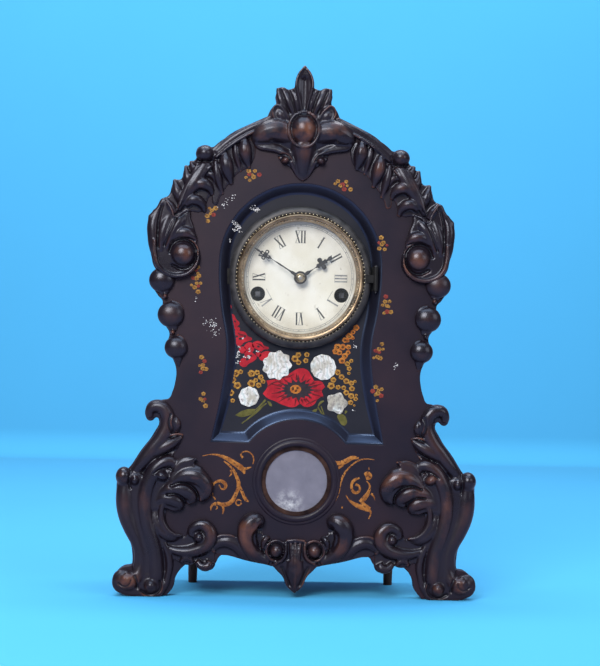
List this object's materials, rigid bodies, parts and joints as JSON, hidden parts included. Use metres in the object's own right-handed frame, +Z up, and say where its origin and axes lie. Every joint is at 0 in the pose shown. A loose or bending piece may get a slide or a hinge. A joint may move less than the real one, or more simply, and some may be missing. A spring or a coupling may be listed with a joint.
{
  "type": "iron front clock",
  "caption": "Free-standing shelf clock with a scrolled iron front, hinged dial bezel, small lower window, wooden case, striking spring movement and pendulum.",
  "frame": {"origin": "bottom centre of the bounding box, on the shelf", "axes": "+Z up, front faces -Y, +X to the right seen from the front"},
  "size_m": [0.3188, 0.1219, 0.47],
  "materials": {
    "japanned_iron": "dark brown japanned iron, satin gloss with copper-brown wear",
    "dark_wood": "dark stained pine",
    "brass": "aged brass",
    "copper_ring": "coppery lacquered brass",
    "glass": "old clear glass",
    "dial_enamel": "white painted zinc with black numerals",
    "pearl": "mother-of-pearl shell",
    "black_hands": "black painted steel",
    "base_iron": "black painted iron",
    "steel": "plain steel"
  },
  "bodies": {
    "case": {"front_casting": "japanned_iron", "case_side_left": "dark_wood", "case_side_right": "dark_wood", "case_top": "dark_wood", "case_bottom": "dark_wood", "back_board": "dark_wood", "rear_pegs": "dark_wood", "case_cleats": "dark_wood", "casting_screws": "steel", "back_board_screws": "steel", "window_ring": "copper_ring", "window_glass": "glass", "window_clips": "brass", "pearl_inlays": "pearl", "dial_plate": "dial_enamel", "dial_screws": "steel", "hinge_leaf_fixed": "brass", "hinge_pin": "steel", "door_catch": "brass", "movement_rails": "dark_wood", "movement_screws": "steel", "front_plate": "brass", "back_plate": "brass", "pillars": "steel", "minute_stud": "steel", "time_mainspring": "steel", "strike_mainspring": "steel", "suspension_post": "steel", "gong_base": "base_iron", "gong_coil": "steel"},
    "bezel_door": {"bezel_ring": "brass", "bezel_glass": "glass", "sight_ring": "brass", "hinge_leaf_moving": "brass"},
    "minute_set": {"minute_hand": "black_hands", "hand_collet": "brass", "centre_arbor": "steel", "cannon_pinion": "steel"},
    "hour_set": {"hour_hand": "black_hands", "hour_wheel": "brass"},
    "motion_wheel": {"minute_wheel": "brass"},
    "time_main": {"time_main_wheel": "brass"},
    "time_arbor": {"time_winding_arbor": "steel"},
    "centre_set": {"centre_wheel": "brass"},
    "third_set": {"third_wheel": "brass", "third_arbor": "steel"},
    "escape_set": {"escape_wheel": "brass", "escape_arbor": "steel"},
    "verge_set": {"verge": "steel"},
    "pendulum": {"pendulum_rod": "steel", "pendulum_bob": "brass", "rating_nut": "brass"},
    "strike_main": {"strike_main_wheel": "brass"},
    "strike_arbor": {"strike_winding_arbor": "steel"},
    "pin_set": {"pin_wheel": "brass", "pin_arbor": "steel"},
    "warning_set": {"warning_wheel": "brass", "warning_arbor": "steel"},
    "fly_set": {"fly": "steel"},
    "hammer_set": {"hammer": "steel"}
  },
  "joints": [
    {"name": "bezel_hinge", "type": "hinge", "parent": "case", "child": "bezel_door", "pos_m": [0.0665, -0.0465, 0.283], "axis": [0, 0, 1], "range_deg": [0, 110]},
    {"name": "minute_turn", "type": "hinge", "parent": "case", "child": "minute_set", "pos_m": [0, 0, 0.283], "axis": [0, 1, 0], "continuous": true},
    {"name": "hour_turn", "type": "hinge", "parent": "case", "child": "hour_set", "pos_m": [0, 0, 0.283], "axis": [0, 1, 0], "continuous": true},
    {"name": "motion_turn", "type": "hinge", "parent": "case", "child": "motion_wheel", "pos_m": [0, 0, 0.2686], "axis": [0, 1, 0], "continuous": true},
    {"name": "third_turn", "type": "hinge", "parent": "case", "child": "third_set", "pos_m": [0.01364, 0, 0.30662], "axis": [0, 1, 0], "continuous": true},
    {"name": "centre_turn", "type": "hinge", "parent": "case", "child": "centre_set", "pos_m": [0, 0, 0.283], "axis": [0, 1, 0], "continuous": true},
    {"name": "time_main_turn", "type": "hinge", "parent": "case", "child": "time_main", "pos_m": [0.0372, 0, 0.2681], "axis": [0, 1, 0], "continuous": true},
    {"name": "escape_turn", "type": "hinge", "parent": "case", "child": "escape_set", "pos_m": [0, 0, 0.32091], "axis": [0, 1, 0], "continuous": true},
    {"name": "time_winding", "type": "hinge", "parent": "case", "child": "time_arbor", "pos_m": [0.0372, 0, 0.2681], "axis": [0, 1, 0], "continuous": true},
    {"name": "pendulum_swing", "type": "hinge", "parent": "case", "child": "pendulum", "pos_m": [0, 0.033, 0.342], "axis": [0, 1, 0], "range_deg": [-5, 5]},
    {"name": "verge_rock", "type": "hinge", "parent": "case", "child": "verge_set", "pos_m": [0, 0.024, 0.33811], "axis": [0, 1, 0], "range_deg": [-5.6, 5.6]},
    {"name": "warning_turn", "type": "hinge", "parent": "case", "child": "warning_set", "pos_m": [-0.02605, 0, 0.3213], "axis": [0, 1, 0], "continuous": true},
    {"name": "pin_turn", "type": "hinge", "parent": "case", "child": "pin_set", "pos_m": [-0.03123, 0, 0.30198], "axis": [0, 1, 0], "continuous": true},
    {"name": "strike_main_turn", "type": "hinge", "parent": "case", "child": "strike_main", "pos_m": [-0.0372, 0, 0.2681], "axis": [0, 1, 0], "continuous": true},
    {"name": "fly_turn", "type": "hinge", "parent": "case", "child": "fly_set", "pos_m": [-0.03347, 0, 0.33416], "axis": [0, 1, 0], "continuous": true},
    {"name": "strike_winding", "type": "hinge", "parent": "case", "child": "strike_arbor", "pos_m": [-0.0372, 0, 0.2681], "axis": [0, 1, 0], "continuous": true},
    {"name": "hammer_lift", "type": "hinge", "parent": "case", "child": "hammer_set", "pos_m": [-0.014, 0.045, 0.239], "axis": [0, 1, 0], "range_deg": [0, 14]}
  ],
  "couplings": [
    {"joint": "hour_turn", "follows": "minute_turn", "ratio": 0.083333},
    {"joint": "motion_turn", "follows": "minute_turn", "ratio": -0.33333},
    {"joint": "centre_turn", "follows": "third_turn", "ratio": -0.1},
    {"joint": "time_main_turn", "follows": "third_turn", "ratio": 0.0083333},
    {"joint": "escape_turn", "follows": "third_turn", "ratio": -10.286},
    {"joint": "verge_rock", "follows": "pendulum_swing", "ratio": 1.097},
    {"joint": "pin_turn", "follows": "warning_turn", "ratio": -0.11111},
    {"joint": "strike_main_turn", "follows": "warning_turn", "ratio": 0.011396},
    {"joint": "fly_turn", "follows": "warning_turn", "ratio": -10}
  ]
}
